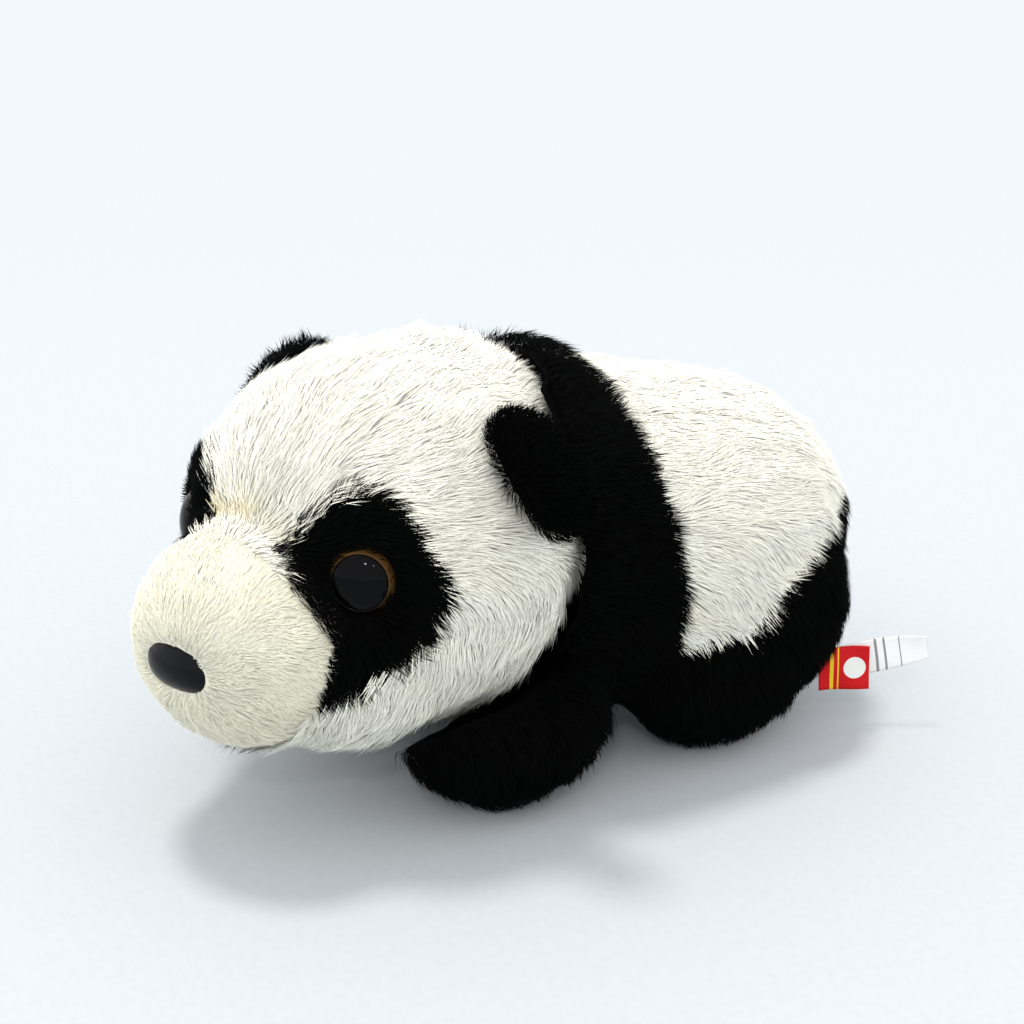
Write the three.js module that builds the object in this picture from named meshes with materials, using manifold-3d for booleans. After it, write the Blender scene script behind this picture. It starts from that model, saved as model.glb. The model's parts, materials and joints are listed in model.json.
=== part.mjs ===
// Plush panda lying on its short legs, built as it is sewn: stuffing, fabric panels round the
// stuffing, safety eyes and nose with their washers, ears, legs, tail and two satin labels.
// Millimetres, +Z up. The panda faces -Y, +X is its left side, and z = 0 is the ground.
import * as THREE from 'three';
import { mergeVertices } from 'three/addons/utils/BufferGeometryUtils.js';
import Module from 'manifold-3d';

// ---------------------------------------------------------------- driving dimensions
const GAP = 0.3;                 // between pieces that touch
const PILE = 4;                  // fabric with its compressed pile
const REACH = 400;               // longer than the toy, for the blocks that cut along a plane

const TORSO = {
  front: -59.5, rear: 107.5, fullness: 2.35,
  shoulder: { halfWidth: 55, halfHeight: 59.5, centreZ: 65.5 },
  rump: { halfWidth: 60, halfHeight: 51, centreZ: 57 },
  waist: [-0.5, 0.3],            // where the shoulder turns into the rump, -1 front to 1 rear
};
const HAUNCH = { centre: [34, 59.5, 40], radii: [28, 32, 35] };
const BAND_SEAM = { y: 22.5, z: 40, lean: 5.5 };     // black shoulders ahead, white rump behind
const BELLY_SEAM_Z = 21;
// Black below it: rises steeply to a corner, then gently to the rear.
const HAUNCH_SEAM = { corner: [62, 56], steepRise: 0.92, gentleRise: 0.32, inner: 16 };

const HEAD = { centre: [0, -43.5, 71], radii: [58, 53, 54], yaw: 18.5 };
const NAPE = { centre: [0, 17, 7], radii: [48, 40, 48] };
const JAW = { centre: [0, -24, -21], radii: [44, 34, 33] };
const MUZZLE = { centre: [-1.5, -49, -15], radii: [32.5, 27, 28.5] };
const NECK_SEAM = { y: 24, lean: 22 };      // plane of the neck seam in the head, leaning back
const FOREHEAD_HALF_WIDTH = 22;
const CHIN_SEAM_Z = -22;
const PATCH_REAR_Y = -6;         // the eye patches stop ahead of this
const MUZZLE_MARGIN = 1.6;         // between the sewn-on muzzle and the head's panels

const EYE = {
  azimuth: 39, elevation: 7, seat: -5, radius: 9, height: 5.5, lensWidth: 2, stem: 2, stemLength: 13,
};
const EYE_WASHER = { radius: 7, thickness: 1.6, depth: 8.5 };
const NOSE = {
  halfWidth: 10.8, halfHeight: 6.2, height: 4.5, x: 1.3, drop: -14.8, seat: -4.2, stem: 2, stemLength: 12,
};

const EAR = { halfThickness: 5.5, halfWidth: 18, halfLength: 14 };
// rise: from the head's surface to the ear's middle. hinge: direction of the sewn edge, in the head.
const EAR_SEATS = {
  left: { azimuth: 87, elevation: 27, rise: 8, hinge: [0.45, 0.2, -0.87] },
  right: { azimuth: -105, elevation: 26, rise: 5, hinge: [-0.55, -0.53, -0.65] },
};

const FORELEG = { centre: [35, -24.5, 22], radii: [24, 32, 23] };
const HINDLEG = { centre: [36, 45, 24], radii: [24, 33, 25] };
const SOLE_THICKNESS = 3;
const LEG_MOUTH = 0.55;          // how far up a leg its cover goes, as a share of its half height

const TAIL = { pivot: [0, 105.5, 54], radii: [12, 11, 10], offset: 3 };

const LABEL_ROOT = [47.6, 76.3, 18.6];
const RED_LABEL = { length: 15, height: 14, thickness: 0.8, heading: 58, rise: 3, lift: 0 };
const CARE_LABEL = { length: 34, height: 11, thickness: 0.5, heading: 64, rise: 9, lift: 1 };

const NECK = { ballRadius: 15, rodRadius: 12, length: 74, room: 1.5, sway: 2 };
const HEAD_TURN = 8;
const HEAD_NOD = 8;
const SOCKET_CLEARANCE = 2.5;    // lets the head roll in its hollow in the shoulders
const LEG_CLEARANCE = 2.2;
const EAR_CLEARANCE = 1.8;
const TAIL_CLEARANCE = 2.8;
const LABEL_CLEARANCE = 1.2;

// ---------------------------------------------------------------- materials
const material = (color, roughness) => new THREE.MeshStandardMaterial({ color, roughness, metalness: 0 });
const WHITE_PLUSH = () => material(0xf3efe2, 0.95);
const CREAM_PLUSH = () => material(0xece2cc, 0.95);
const BLACK_PLUSH = () => material(0x17171a, 0.95);
const FIBREFILL = () => material(0xe9e9e6, 1);
const AMBER_PLASTIC = () => material(0x6b4317, 0.1);
const BLACK_PLASTIC = () => material(0x0c0c0d, 0.25);
const WHITE_PLASTIC = () => material(0xdddddb, 0.5);
const RED_SATIN = () => material(0xb3121d, 0.45);
const WHITE_SATIN = () => material(0xf2f2f0, 0.5);

// ---------------------------------------------------------------- solids
const wasm = await Module();
wasm.setup();

const degrees = THREE.MathUtils.degToRad;
const vector = (list) => new THREE.Vector3(...list);
const mirrored = (list, side) => [side * list[0], list[1], list[2]];
const grown = (radii, amount) => radii.map((radius) => radius + amount);

function solidOf(geometry, matrix) {
  const bare = geometry.clone();
  bare.deleteAttribute('normal');
  bare.deleteAttribute('uv');
  if (matrix) bare.applyMatrix4(matrix);
  const merged = mergeVertices(bare, 1e-4);
  return new wasm.Manifold(new wasm.Mesh({
    numProp: 3,
    vertProperties: new Float32Array(merged.attributes.position.array),
    triVerts: new Uint32Array(merged.index.array),
  }));
}

function geometryOf(solid) {
  const { vertProperties, triVerts } = solid.getMesh();
  const geometry = new THREE.BufferGeometry();
  geometry.setAttribute('position', new THREE.Float32BufferAttribute(vertProperties, 3));
  geometry.setIndex(Array.from(triVerts));
  geometry.computeVertexNormals();
  return geometry;
}

function placed(position, rotation = new THREE.Quaternion()) {
  return new THREE.Matrix4().compose(vector(position), rotation, new THREE.Vector3(1, 1, 1));
}

function ellipsoid(centre, radii, frame = new THREE.Matrix4(), segments = 20, rings = 12) {
  const scaled = new THREE.Matrix4().makeTranslation(...centre).scale(vector(radii));
  return solidOf(new THREE.SphereGeometry(1, segments, rings), frame.clone().multiply(scaled));
}

function block(low, high, frame) {
  const size = high.map((value, axis) => value - low[axis]);
  const middle = high.map((value, axis) => (value + low[axis]) / 2);
  const matrix = new THREE.Matrix4().makeTranslation(...middle);
  return solidOf(new THREE.BoxGeometry(...size), frame ? frame.clone().multiply(matrix) : matrix);
}

// Everything on one side of a plane across an axis: sign +1 keeps what is past the value.
function beyond(axis, value, sign, frame) {
  const low = [-REACH, -REACH, -REACH];
  const high = [REACH, REACH, REACH];
  if (sign > 0) low[axis] = value + GAP / 2;
  else high[axis] = value - GAP / 2;
  return block(low, high, frame);
}

function cylinderAlong(frame, radius, from, to, segments = 12) {
  const geometry = new THREE.CylinderGeometry(radius, radius, to - from, segments);
  geometry.rotateX(Math.PI / 2);
  geometry.translate(0, 0, (from + to) / 2);
  return solidOf(geometry, frame);
}

// ---------------------------------------------------------------- frames
const headFrame = placed(HEAD.centre, new THREE.Quaternion().setFromAxisAngle(
  new THREE.Vector3(0, 0, 1), degrees(HEAD.yaw)));

// Direction from the head's centre, azimuth 0 straight ahead and positive to the panda's left.
function direction(azimuth, elevation) {
  const a = degrees(azimuth);
  const e = degrees(elevation);
  return new THREE.Vector3(Math.sin(a) * Math.cos(e), -Math.cos(a) * Math.cos(e), Math.sin(e));
}

// Where a ray from the head's centre meets an ellipsoid round it, and the surface normal there.
function onHead(azimuth, elevation) {
  const ray = direction(azimuth, elevation);
  const [a, b, c] = HEAD.radii;
  const reach = 1 / Math.hypot(ray.x / a, ray.y / b, ray.z / c);
  const point = ray.multiplyScalar(reach);
  const normal = new THREE.Vector3(point.x / a ** 2, point.y / b ** 2, point.z / c ** 2).normalize();
  return { point, normal };
}

// A frame whose +Z is the outward normal and whose +Y leans towards an up direction.
function outwardFrame(point, normal, up = new THREE.Vector3(0, 0, 1)) {
  const z = normal.clone().normalize();
  const x = new THREE.Vector3().crossVectors(up, z).normalize();
  const y = new THREE.Vector3().crossVectors(z, x);
  const basis = new THREE.Matrix4().makeBasis(x, y, z);
  return basis.setPosition(point);
}

// ---------------------------------------------------------------- torso
function torsoLoft(inset) {
  const geometry = new THREE.SphereGeometry(1, 22, 14);
  const position = geometry.attributes.position;
  const middle = (TORSO.front + TORSO.rear) / 2;
  const halfLength = (TORSO.rear - TORSO.front) / 2 - inset;
  for (let index = 0; index < position.count; index += 1) {
    const along = THREE.MathUtils.clamp(position.getY(index), -1, 1);
    const around = Math.atan2(position.getZ(index), position.getX(index));
    const atPole = Math.abs(along) > 0.99999;
    const ring = atPole ? 0 : (1 - Math.abs(along) ** TORSO.fullness) ** (1 / TORSO.fullness);
    const blend = THREE.MathUtils.smoothstep(along, ...TORSO.waist);
    const halfWidth = THREE.MathUtils.lerp(TORSO.shoulder.halfWidth, TORSO.rump.halfWidth, blend);
    const halfHeight = THREE.MathUtils.lerp(TORSO.shoulder.halfHeight, TORSO.rump.halfHeight, blend);
    const centreZ = THREE.MathUtils.lerp(TORSO.shoulder.centreZ, TORSO.rump.centreZ, blend);
    position.setXYZ(
      index,
      Math.cos(around) * ring * (halfWidth - inset),
      middle + along * halfLength,
      centreZ + Math.sin(around) * ring * (halfHeight - inset),
    );
  }
  return solidOf(geometry);
}

function torsoSolid(inset) {
  let solid = torsoLoft(inset);
  for (const side of [1, -1]) {
    solid = solid.add(ellipsoid(mirrored(HAUNCH.centre, side), grown(HAUNCH.radii, -inset), undefined, 14, 8));
  }
  return solid;
}

// ---------------------------------------------------------------- head and legs, whole
function headSolid(inset) {
  return ellipsoid([0, 0, 0], grown(HEAD.radii, -inset), headFrame)
    .add(ellipsoid(NAPE.centre, grown(NAPE.radii, -inset), headFrame, 18, 10))
    .add(ellipsoid(JAW.centre, grown(JAW.radii, -inset), headFrame, 16, 8));
}

const legSolid = (leg, side, inset) => ellipsoid(
  mirrored(leg.centre, side), grown(leg.radii, -inset), undefined, 14, 8);

const hingeAcross = new THREE.Vector3(1, 0, 0);
const headSocket = headSolid(-SOCKET_CLEARANCE);
const headNearLeg = headSolid(-SOCKET_CLEARANCE - LEG_CLEARANCE);

const hollows = [headSocket];
for (const leg of [FORELEG, HINDLEG]) {
  for (const side of [1, -1]) hollows.push(legSolid(leg, side, -LEG_CLEARANCE));
}

// ---------------------------------------------------------------- scene graph
const panda = new THREE.Group();

function bodyGroup(parent, matrix) {
  const group = new THREE.Group();
  parent.updateMatrixWorld(true);
  const local = parent.matrixWorld.clone().invert().multiply(matrix);
  local.decompose(group.position, group.quaternion, group.scale);
  parent.add(group);
  group.updateMatrixWorld(true);
  return group;
}

// The largest connected part of a solid: cuts that graze each other can leave crumbs beside it.
function withoutCrumbs(solid) {
  const parts = solid.decompose();
  return parts.reduce((best, part) => (part.volume() > best.volume() ? part : best));
}

function addPiece(group, name, solid, pieceMaterial) {
  const geometry = geometryOf(withoutCrumbs(solid));
  geometry.applyMatrix4(group.matrixWorld.clone().invert());
  const mesh = new THREE.Mesh(geometry, pieceMaterial);
  mesh.name = name;
  group.add(mesh);
}

const torsoGroup = bodyGroup(panda, placed([0, 0, 0]));
const neckGroup = bodyGroup(torsoGroup, placed(HEAD.centre));
const headGroup = bodyGroup(neckGroup, headFrame);
const sideNames = [['left', 1], ['right', -1]];

// ---------------------------------------------------------------- torso pieces
function neckRoom() {
  const back = new THREE.Quaternion().setFromAxisAngle(new THREE.Vector3(1, 0, 0), -Math.PI / 2);
  const frame = placed(HEAD.centre, back);
  const spread = NECK.length * Math.sin(degrees(HEAD_TURN)) + NECK.sway;
  const stretched = frame.clone().scale(new THREE.Vector3((NECK.rodRadius + spread) / NECK.rodRadius, 1, 1));
  return cylinderAlong(stretched, NECK.rodRadius + NECK.room, 0, NECK.length + 2 * NECK.room);
}

function torsoPieces() {
  let outer = torsoSolid(0);
  let core = torsoSolid(PILE + GAP);
  for (const hollow of hollows) {
    outer = outer.subtract(hollow);
    core = core.subtract(hollow);
  }
  const cover = outer.subtract(torsoSolid(PILE));
  addPiece(torsoGroup, 'torso_stuffing', core.subtract(neckRoom()), FIBREFILL());

  const seamFrames = [HAUNCH_SEAM.steepRise, HAUNCH_SEAM.gentleRise].map((slope) => placed(
    [0, ...HAUNCH_SEAM.corner], new THREE.Quaternion().setFromAxisAngle(hingeAcross, Math.atan(slope))));
  const haunchZone = (side, room) => {
    const low = [side > 0 ? HAUNCH_SEAM.inner - room : -REACH, -REACH, -REACH];
    const high = [side > 0 ? REACH : -HAUNCH_SEAM.inner + room, REACH, REACH];
    let zone = block(low, high);
    for (const frame of seamFrames) {
      zone = zone.intersect(block([-REACH, -REACH, -REACH], [REACH, REACH, room], frame));
    }
    return zone;
  };

  const lean = new THREE.Quaternion().setFromAxisAngle(hingeAcross, degrees(BAND_SEAM.lean));
  const bandFrame = placed([0, BAND_SEAM.y, BAND_SEAM.z], lean);
  const ahead = cover.intersect(beyond(1, 0, -1, bandFrame));
  const behind = cover.intersect(beyond(1, 0, 1, bandFrame));
  const above = beyond(2, BELLY_SEAM_Z, 1);
  const below = beyond(2, BELLY_SEAM_Z, -1);
  addPiece(torsoGroup, 'chest_panel', ahead.intersect(below), BLACK_PLUSH());
  const white = behind.subtract(haunchZone(1, GAP)).subtract(haunchZone(-1, GAP));
  addPiece(torsoGroup, 'belly_panel', white.intersect(below), WHITE_PLUSH());
  for (const [name, side] of sideNames) {
    const half = above.intersect(beyond(0, 0, side));
    addPiece(torsoGroup, `shoulder_panel_${name}`, ahead.intersect(half), BLACK_PLUSH());
    addPiece(torsoGroup, `rump_panel_${name}`, white.intersect(half), WHITE_PLUSH());
    addPiece(torsoGroup, `haunch_panel_${name}`, behind.intersect(haunchZone(side, 0)), BLACK_PLUSH());
  }
}

// ---------------------------------------------------------------- neck
function neckPiece() {
  const { ballRadius, rodRadius, length } = NECK;
  const profile = [new THREE.Vector2(0, -ballRadius)];
  const joinAngle = Math.asin(rodRadius / ballRadius);
  const arcSteps = 6;
  for (let step = 1; step <= arcSteps; step += 1) {
    const angle = (step / arcSteps) * (Math.PI - joinAngle);
    profile.push(new THREE.Vector2(ballRadius * Math.sin(angle), -ballRadius * Math.cos(angle)));
  }
  profile.push(new THREE.Vector2(rodRadius, length - rodRadius / 2));
  profile.push(new THREE.Vector2(rodRadius / 2, length));
  profile.push(new THREE.Vector2(0, length));
  addPiece(neckGroup, 'neck_stuffing', solidOf(new THREE.LatheGeometry(profile, 12), placed(HEAD.centre)), FIBREFILL());
}

// Room in the head's filling for the neck, wide enough for the head to nod round it.
function neckCone() {
  const length = HEAD.radii[1] + NAPE.centre[1];
  const narrow = NECK.rodRadius + 2 * NECK.room;
  const wide = narrow + length * Math.tan(degrees(HEAD_NOD + 2));
  const geometry = new THREE.CylinderGeometry(wide, narrow, length, 14);
  geometry.translate(0, length / 2, 0);
  const ballRoom = NECK.ballRadius + NECK.room;
  return solidOf(geometry, placed(HEAD.centre))
    .add(ellipsoid([0, 0, 0], [ballRoom, ballRoom, ballRoom], placed(HEAD.centre), 12, 8));
}

// ---------------------------------------------------------------- face
function eyeFrame(side) {
  const { point, normal } = onHead(side * EYE.azimuth, EYE.elevation);
  return headFrame.clone().multiply(outwardFrame(point.addScaledVector(normal, EYE.seat), normal));
}

function noseFrame() {
  const across = (NOSE.x - MUZZLE.centre[0]) / MUZZLE.radii[0];
  const rise = (NOSE.drop - MUZZLE.centre[2]) / MUZZLE.radii[2];
  const ahead = -Math.sqrt(1 - across ** 2 - rise ** 2);
  const point = new THREE.Vector3(NOSE.x, MUZZLE.centre[1] + MUZZLE.radii[1] * ahead, NOSE.drop);
  const normal = new THREE.Vector3(
    across / MUZZLE.radii[0], ahead / MUZZLE.radii[1], rise / MUZZLE.radii[2]).normalize();
  const seat = point.addScaledVector(normal, NOSE.seat);
  return headFrame.clone().multiply(outwardFrame(seat, normal));
}

// Drop-shaped patch outline round the eye, x towards the ear and y up, in the plane of the eye.
function eyePatchPrism(side) {
  const outline = [
    [-20, 6], [-13, 14], [-4, 22], [6, 22], [14, 15], [19, 5], [23, -4], [18, -16], [7, -27],
    [-8, -33], [-15, -28], [-17, -10],
  ].map(([x, y]) => new THREE.Vector2(side * x, y));
  const smooth = new THREE.SplineCurve([...outline, outline[0]]).getPoints(20).slice(0, -1);
  const shape = new THREE.Shape(smooth);
  const geometry = new THREE.ExtrudeGeometry(shape, { depth: 60, bevelEnabled: false, steps: 1 });
  geometry.translate(0, 0, -30);
  return solidOf(geometry, eyeFrame(side));
}

// Half a ball, flattened: round side out along the frame's +Z, flat side at 0.
function dome(frame, halfWidth, halfHeight, height, floor = 0) {
  const geometry = new THREE.SphereGeometry(1, 14, 8);
  geometry.rotateX(Math.PI / 2);
  geometry.scale(halfWidth, halfHeight, height);
  return solidOf(geometry, frame).intersect(block([-REACH, -REACH, floor], [REACH, REACH, REACH], frame));
}

function eyePieces(name, side, seat) {
  const frame = eyeFrame(side);
  const pupilRadius = EYE.radius - EYE.lensWidth;
  const pupilHeight = EYE.height - EYE.lensWidth;
  const pupil = dome(frame, pupilRadius, pupilRadius, pupilHeight, GAP)
    .add(cylinderAlong(frame, EYE.stem, -EYE.stemLength, 1, 8));
  const lens = dome(frame, EYE.radius, EYE.radius, EYE.height, 0)
    .subtract(dome(frame, pupilRadius + GAP, pupilRadius + GAP, pupilHeight + GAP, -1));
  const washerOuter = cylinderAlong(
    frame, EYE_WASHER.radius, -EYE_WASHER.depth - EYE_WASHER.thickness, -EYE_WASHER.depth);
  const washerHole = cylinderAlong(frame, EYE.stem + GAP, -EYE.stemLength - 2, 2, 8);
  addPiece(headGroup, `eye_pupil_${name}`, pupil, BLACK_PLASTIC());
  addPiece(headGroup, `eye_lens_${name}`, lens, AMBER_PLASTIC());
  addPiece(headGroup, `eye_washer_${name}`, washerOuter.subtract(washerHole), WHITE_PLASTIC());
  const washerRoom = cylinderAlong(
    frame, EYE_WASHER.radius + GAP, -EYE_WASHER.depth - EYE_WASHER.thickness - GAP, -EYE_WASHER.depth + GAP);
  const stemRoom = cylinderAlong(frame, EYE.stem + 2 * GAP, -EYE.stemLength - 1, 4, 8);
  const domeRoom = dome(frame, EYE.radius + GAP, EYE.radius + GAP, EYE.height + 1, -GAP);
  seat.push(washerRoom, stemRoom, domeRoom);
}

function nosePieces(seat) {
  const frame = noseFrame();
  const nose = dome(frame, NOSE.halfWidth, NOSE.halfHeight, NOSE.height, 0)
    .add(cylinderAlong(frame, NOSE.stem, -NOSE.stemLength, 1, 8));
  const depth = EYE_WASHER.depth;
  const washer = cylinderAlong(frame, EYE_WASHER.radius, -depth - EYE_WASHER.thickness, -depth)
    .subtract(cylinderAlong(frame, NOSE.stem + GAP, -NOSE.stemLength - 2, 2, 8));
  addPiece(headGroup, 'nose', nose, BLACK_PLASTIC());
  addPiece(headGroup, 'nose_washer', washer, WHITE_PLASTIC());
  seat.push(
    cylinderAlong(frame, EYE_WASHER.radius + GAP, -depth - EYE_WASHER.thickness - GAP, -depth + GAP),
    cylinderAlong(frame, NOSE.stem + 2 * GAP, -NOSE.stemLength - 1, 4, 8),
    dome(frame, NOSE.halfWidth + GAP, NOSE.halfHeight + GAP, NOSE.height + 1, -GAP),
  );
}

// ---------------------------------------------------------------- head pieces
function headPieces() {
  const seat = [];
  for (const [name, side] of sideNames) eyePieces(name, side, seat);
  nosePieces(seat);
  const seated = (solid) => seat.reduce((rest, room) => rest.subtract(room), solid);

  const lean = new THREE.Quaternion().setFromAxisAngle(hingeAcross, degrees(-NECK_SEAM.lean));
  const seamFrame = headFrame.clone().multiply(placed([0, NECK_SEAM.y, 0], lean));
  const faceSide = block([-REACH, -REACH, -REACH], [REACH, 0, REACH], seamFrame);

  const muzzleBall = (amount) => ellipsoid(MUZZLE.centre, grown(MUZZLE.radii, amount), headFrame, 18, 12);
  const headOuter = headSolid(0);
  addPiece(headGroup, 'head_stuffing', seated(headSolid(PILE + GAP).subtract(neckCone())), FIBREFILL());
  const cover = seated(headOuter.subtract(headSolid(PILE)).intersect(faceSide))
    .subtract(muzzleBall(-PILE - MUZZLE_MARGIN));

  const muzzleCap = muzzleBall(0).subtract(headSolid(-GAP));
  const muzzleCover = seated(muzzleCap.subtract(muzzleBall(-PILE)));
  addPiece(headGroup, 'muzzle_stuffing', seated(muzzleBall(-PILE - GAP).subtract(headSolid(-GAP))), FIBREFILL());

  const patches = { left: eyePatchPrism(1), right: eyePatchPrism(-1) };
  let white = cover;
  const front = beyond(1, PATCH_REAR_Y, -1, headFrame);
  for (const [name] of sideNames) {
    const prism = patches[name].intersect(front);
    addPiece(headGroup, `eye_patch_${name}`, cover.intersect(prism), BLACK_PLUSH());
    white = white.subtract(prism);
  }
  const upper = white.intersect(beyond(2, CHIN_SEAM_Z, 1, headFrame));
  const between = block(
    [-FOREHEAD_HALF_WIDTH, -REACH, -REACH], [FOREHEAD_HALF_WIDTH, REACH, REACH], headFrame);
  addPiece(headGroup, 'chin_panel', white.intersect(beyond(2, CHIN_SEAM_Z, -1, headFrame)), WHITE_PLUSH());
  addPiece(headGroup, 'forehead_panel', upper.intersect(between), WHITE_PLUSH());
  for (const [name, side] of sideNames) {
    const cheek = upper.intersect(beyond(0, side * FOREHEAD_HALF_WIDTH + side * GAP, side, headFrame));
    addPiece(headGroup, `cheek_panel_${name}`, cheek, WHITE_PLUSH());
    addPiece(headGroup, `muzzle_panel_${name}`, muzzleCover.intersect(beyond(0, 0, side, headFrame)), CREAM_PLUSH());
  }
}

// ---------------------------------------------------------------- ears
function earPieces(name, side) {
  const { azimuth, elevation, rise, hinge } = EAR_SEATS[name];
  const { point, normal } = onHead(azimuth, elevation);
  const frame = headFrame.clone().multiply(outwardFrame(point, normal, vector(hinge)));
  const group = bodyGroup(headGroup, frame);
  const radii = [EAR.halfThickness, EAR.halfWidth, EAR.halfLength];
  const disc = ellipsoid([0, 0, rise], radii, frame, 16, 10);
  const ear = disc.subtract(headSolid(-EAR_CLEARANCE));
  const inside = side > 0 ? 1 : -1;
  addPiece(group, `ear_front_${name}`, ear.intersect(beyond(0, 0, inside, frame)), BLACK_PLUSH());
  addPiece(group, `ear_back_${name}`, ear.intersect(beyond(0, 0, -inside, frame)), BLACK_PLUSH());
}

// ---------------------------------------------------------------- legs
function legPieces(kind, leg, name, side) {
  const centre = mirrored(leg.centre, side);
  const group = bodyGroup(torsoGroup, placed(centre));
  const ground = beyond(2, -GAP / 2, 1);
  const outer = legSolid(leg, side, 0).intersect(ground).subtract(headNearLeg);
  const core = legSolid(leg, side, PILE + GAP).subtract(headNearLeg);
  const aboveSole = beyond(2, SOLE_THICKNESS, 1);
  const mouth = block([-REACH, -REACH, leg.centre[2] + leg.radii[2] * LEG_MOUTH], [REACH, REACH, REACH]);
  addPiece(group, `${kind}_stuffing_${name}`, core.intersect(beyond(2, SOLE_THICKNESS + GAP, 1)), FIBREFILL());
  const cover = outer.subtract(legSolid(leg, side, PILE)).intersect(aboveSole).subtract(mouth);
  addPiece(group, `${kind}_cover_${name}`, cover, BLACK_PLUSH());
  addPiece(group, `${kind}_sole_${name}`, outer.intersect(beyond(2, SOLE_THICKNESS, -1)), BLACK_PLUSH());
}

// ---------------------------------------------------------------- tail
function tailPieces() {
  const group = bodyGroup(torsoGroup, placed(TAIL.pivot));
  const centre = [TAIL.pivot[0], TAIL.pivot[1] + TAIL.offset, TAIL.pivot[2]];
  const clear = torsoSolid(-TAIL_CLEARANCE);
  const ball = (inset) => ellipsoid(centre, grown(TAIL.radii, -inset), undefined, 12, 8).subtract(clear);
  addPiece(group, 'tail_cover', ball(0), WHITE_PLUSH());
}

// ---------------------------------------------------------------- labels
function labelPiece(group, name, label, pieceMaterial) {
  const heading = new THREE.Quaternion().setFromAxisAngle(new THREE.Vector3(0, 0, 1), degrees(label.heading));
  const rise = new THREE.Quaternion().setFromAxisAngle(new THREE.Vector3(0, 1, 0), degrees(-label.rise));
  const frame = placed(LABEL_ROOT, heading.multiply(rise));
  const low = [0, label.lift, -label.height / 2];
  const high = [label.length, label.lift + label.thickness, label.height / 2];
  const sewnInto = torsoSolid(-LABEL_CLEARANCE);
  addPiece(group, name, block(low, high, frame).subtract(sewnInto), pieceMaterial);
}

// ---------------------------------------------------------------- the whole toy
torsoPieces();
neckPiece();
headPieces();
for (const [name, side] of sideNames) {
  earPieces(name, side);
  legPieces('foreleg', FORELEG, name, side);
  legPieces('hindleg', HINDLEG, name, side);
}
tailPieces();
const labelGroup = bodyGroup(torsoGroup, placed(LABEL_ROOT));
labelPiece(labelGroup, 'red_label', RED_LABEL, RED_SATIN());
labelPiece(labelGroup, 'care_label', CARE_LABEL, WHITE_SATIN());

export default panda;
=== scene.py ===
"""The looks of the plush panda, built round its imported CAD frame.

Every fabric panel is a thin sewn backing with its own pile of tapered strands, over padded fillings.
The panda faces -Y, its left is +X, and it stands on z = 0. Lengths are in metres, and MM is one millimetre.
"""
import json
import math

import bpy
import numpy as np
from mathutils import Matrix, Vector
from mathutils.bvhtree import BVHTree
from mathutils.kdtree import KDTree

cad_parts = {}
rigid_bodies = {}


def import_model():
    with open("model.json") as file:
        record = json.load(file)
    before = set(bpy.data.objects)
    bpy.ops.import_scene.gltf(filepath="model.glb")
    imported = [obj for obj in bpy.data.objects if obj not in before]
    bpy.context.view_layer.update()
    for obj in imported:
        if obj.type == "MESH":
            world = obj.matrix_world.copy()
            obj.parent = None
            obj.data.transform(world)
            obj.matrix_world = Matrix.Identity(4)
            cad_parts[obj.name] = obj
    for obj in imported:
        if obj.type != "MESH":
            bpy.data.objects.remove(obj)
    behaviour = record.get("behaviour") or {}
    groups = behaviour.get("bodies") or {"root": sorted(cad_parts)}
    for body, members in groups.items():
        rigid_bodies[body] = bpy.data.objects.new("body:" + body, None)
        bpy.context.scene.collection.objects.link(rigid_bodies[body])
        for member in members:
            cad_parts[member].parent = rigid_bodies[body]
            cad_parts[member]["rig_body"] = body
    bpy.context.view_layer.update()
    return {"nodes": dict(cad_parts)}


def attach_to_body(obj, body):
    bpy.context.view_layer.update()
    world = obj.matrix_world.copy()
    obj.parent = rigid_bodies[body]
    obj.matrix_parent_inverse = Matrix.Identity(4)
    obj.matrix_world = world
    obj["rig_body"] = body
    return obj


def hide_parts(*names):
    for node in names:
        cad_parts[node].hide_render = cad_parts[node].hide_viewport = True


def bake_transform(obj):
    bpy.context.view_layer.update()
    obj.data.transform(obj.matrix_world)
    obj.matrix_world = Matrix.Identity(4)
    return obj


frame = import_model()
nodes = frame["nodes"]
MM = 0.001
SIDES = {"left": 1, "right": -1}
LEGS = ("foreleg", "hindleg")
SUPPORT = 0.3 * MM   # no strand comes nearer to the floor than this
BEND_AT = 0.45       # the share of a strand's length that lies inside its bend
TIP_DROOP = 0.3      # how steep the outer half of a strand is, as a share of its rise
TIP_SHARE = 0.5      # a strand is on the panel that lies this share of its length downstream of its root
CLEAR_TO = -12 * MM  # the pile is kept off an eye or the nose down to this height in its frame
ROOT_DEPTH = 0.4 * MM    # a strand starts this far under the backing's face
TUFT_SIZE = 11       # strands that lean toward one leader
WAVE_COUNT = 6       # plane waves summed in one smooth noise
BODY_SEED, HEAD_SEED, EAR_SEED, TAIL_SEED, TONE_SEED = 100, 900, 2000, 3000, 77

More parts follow.
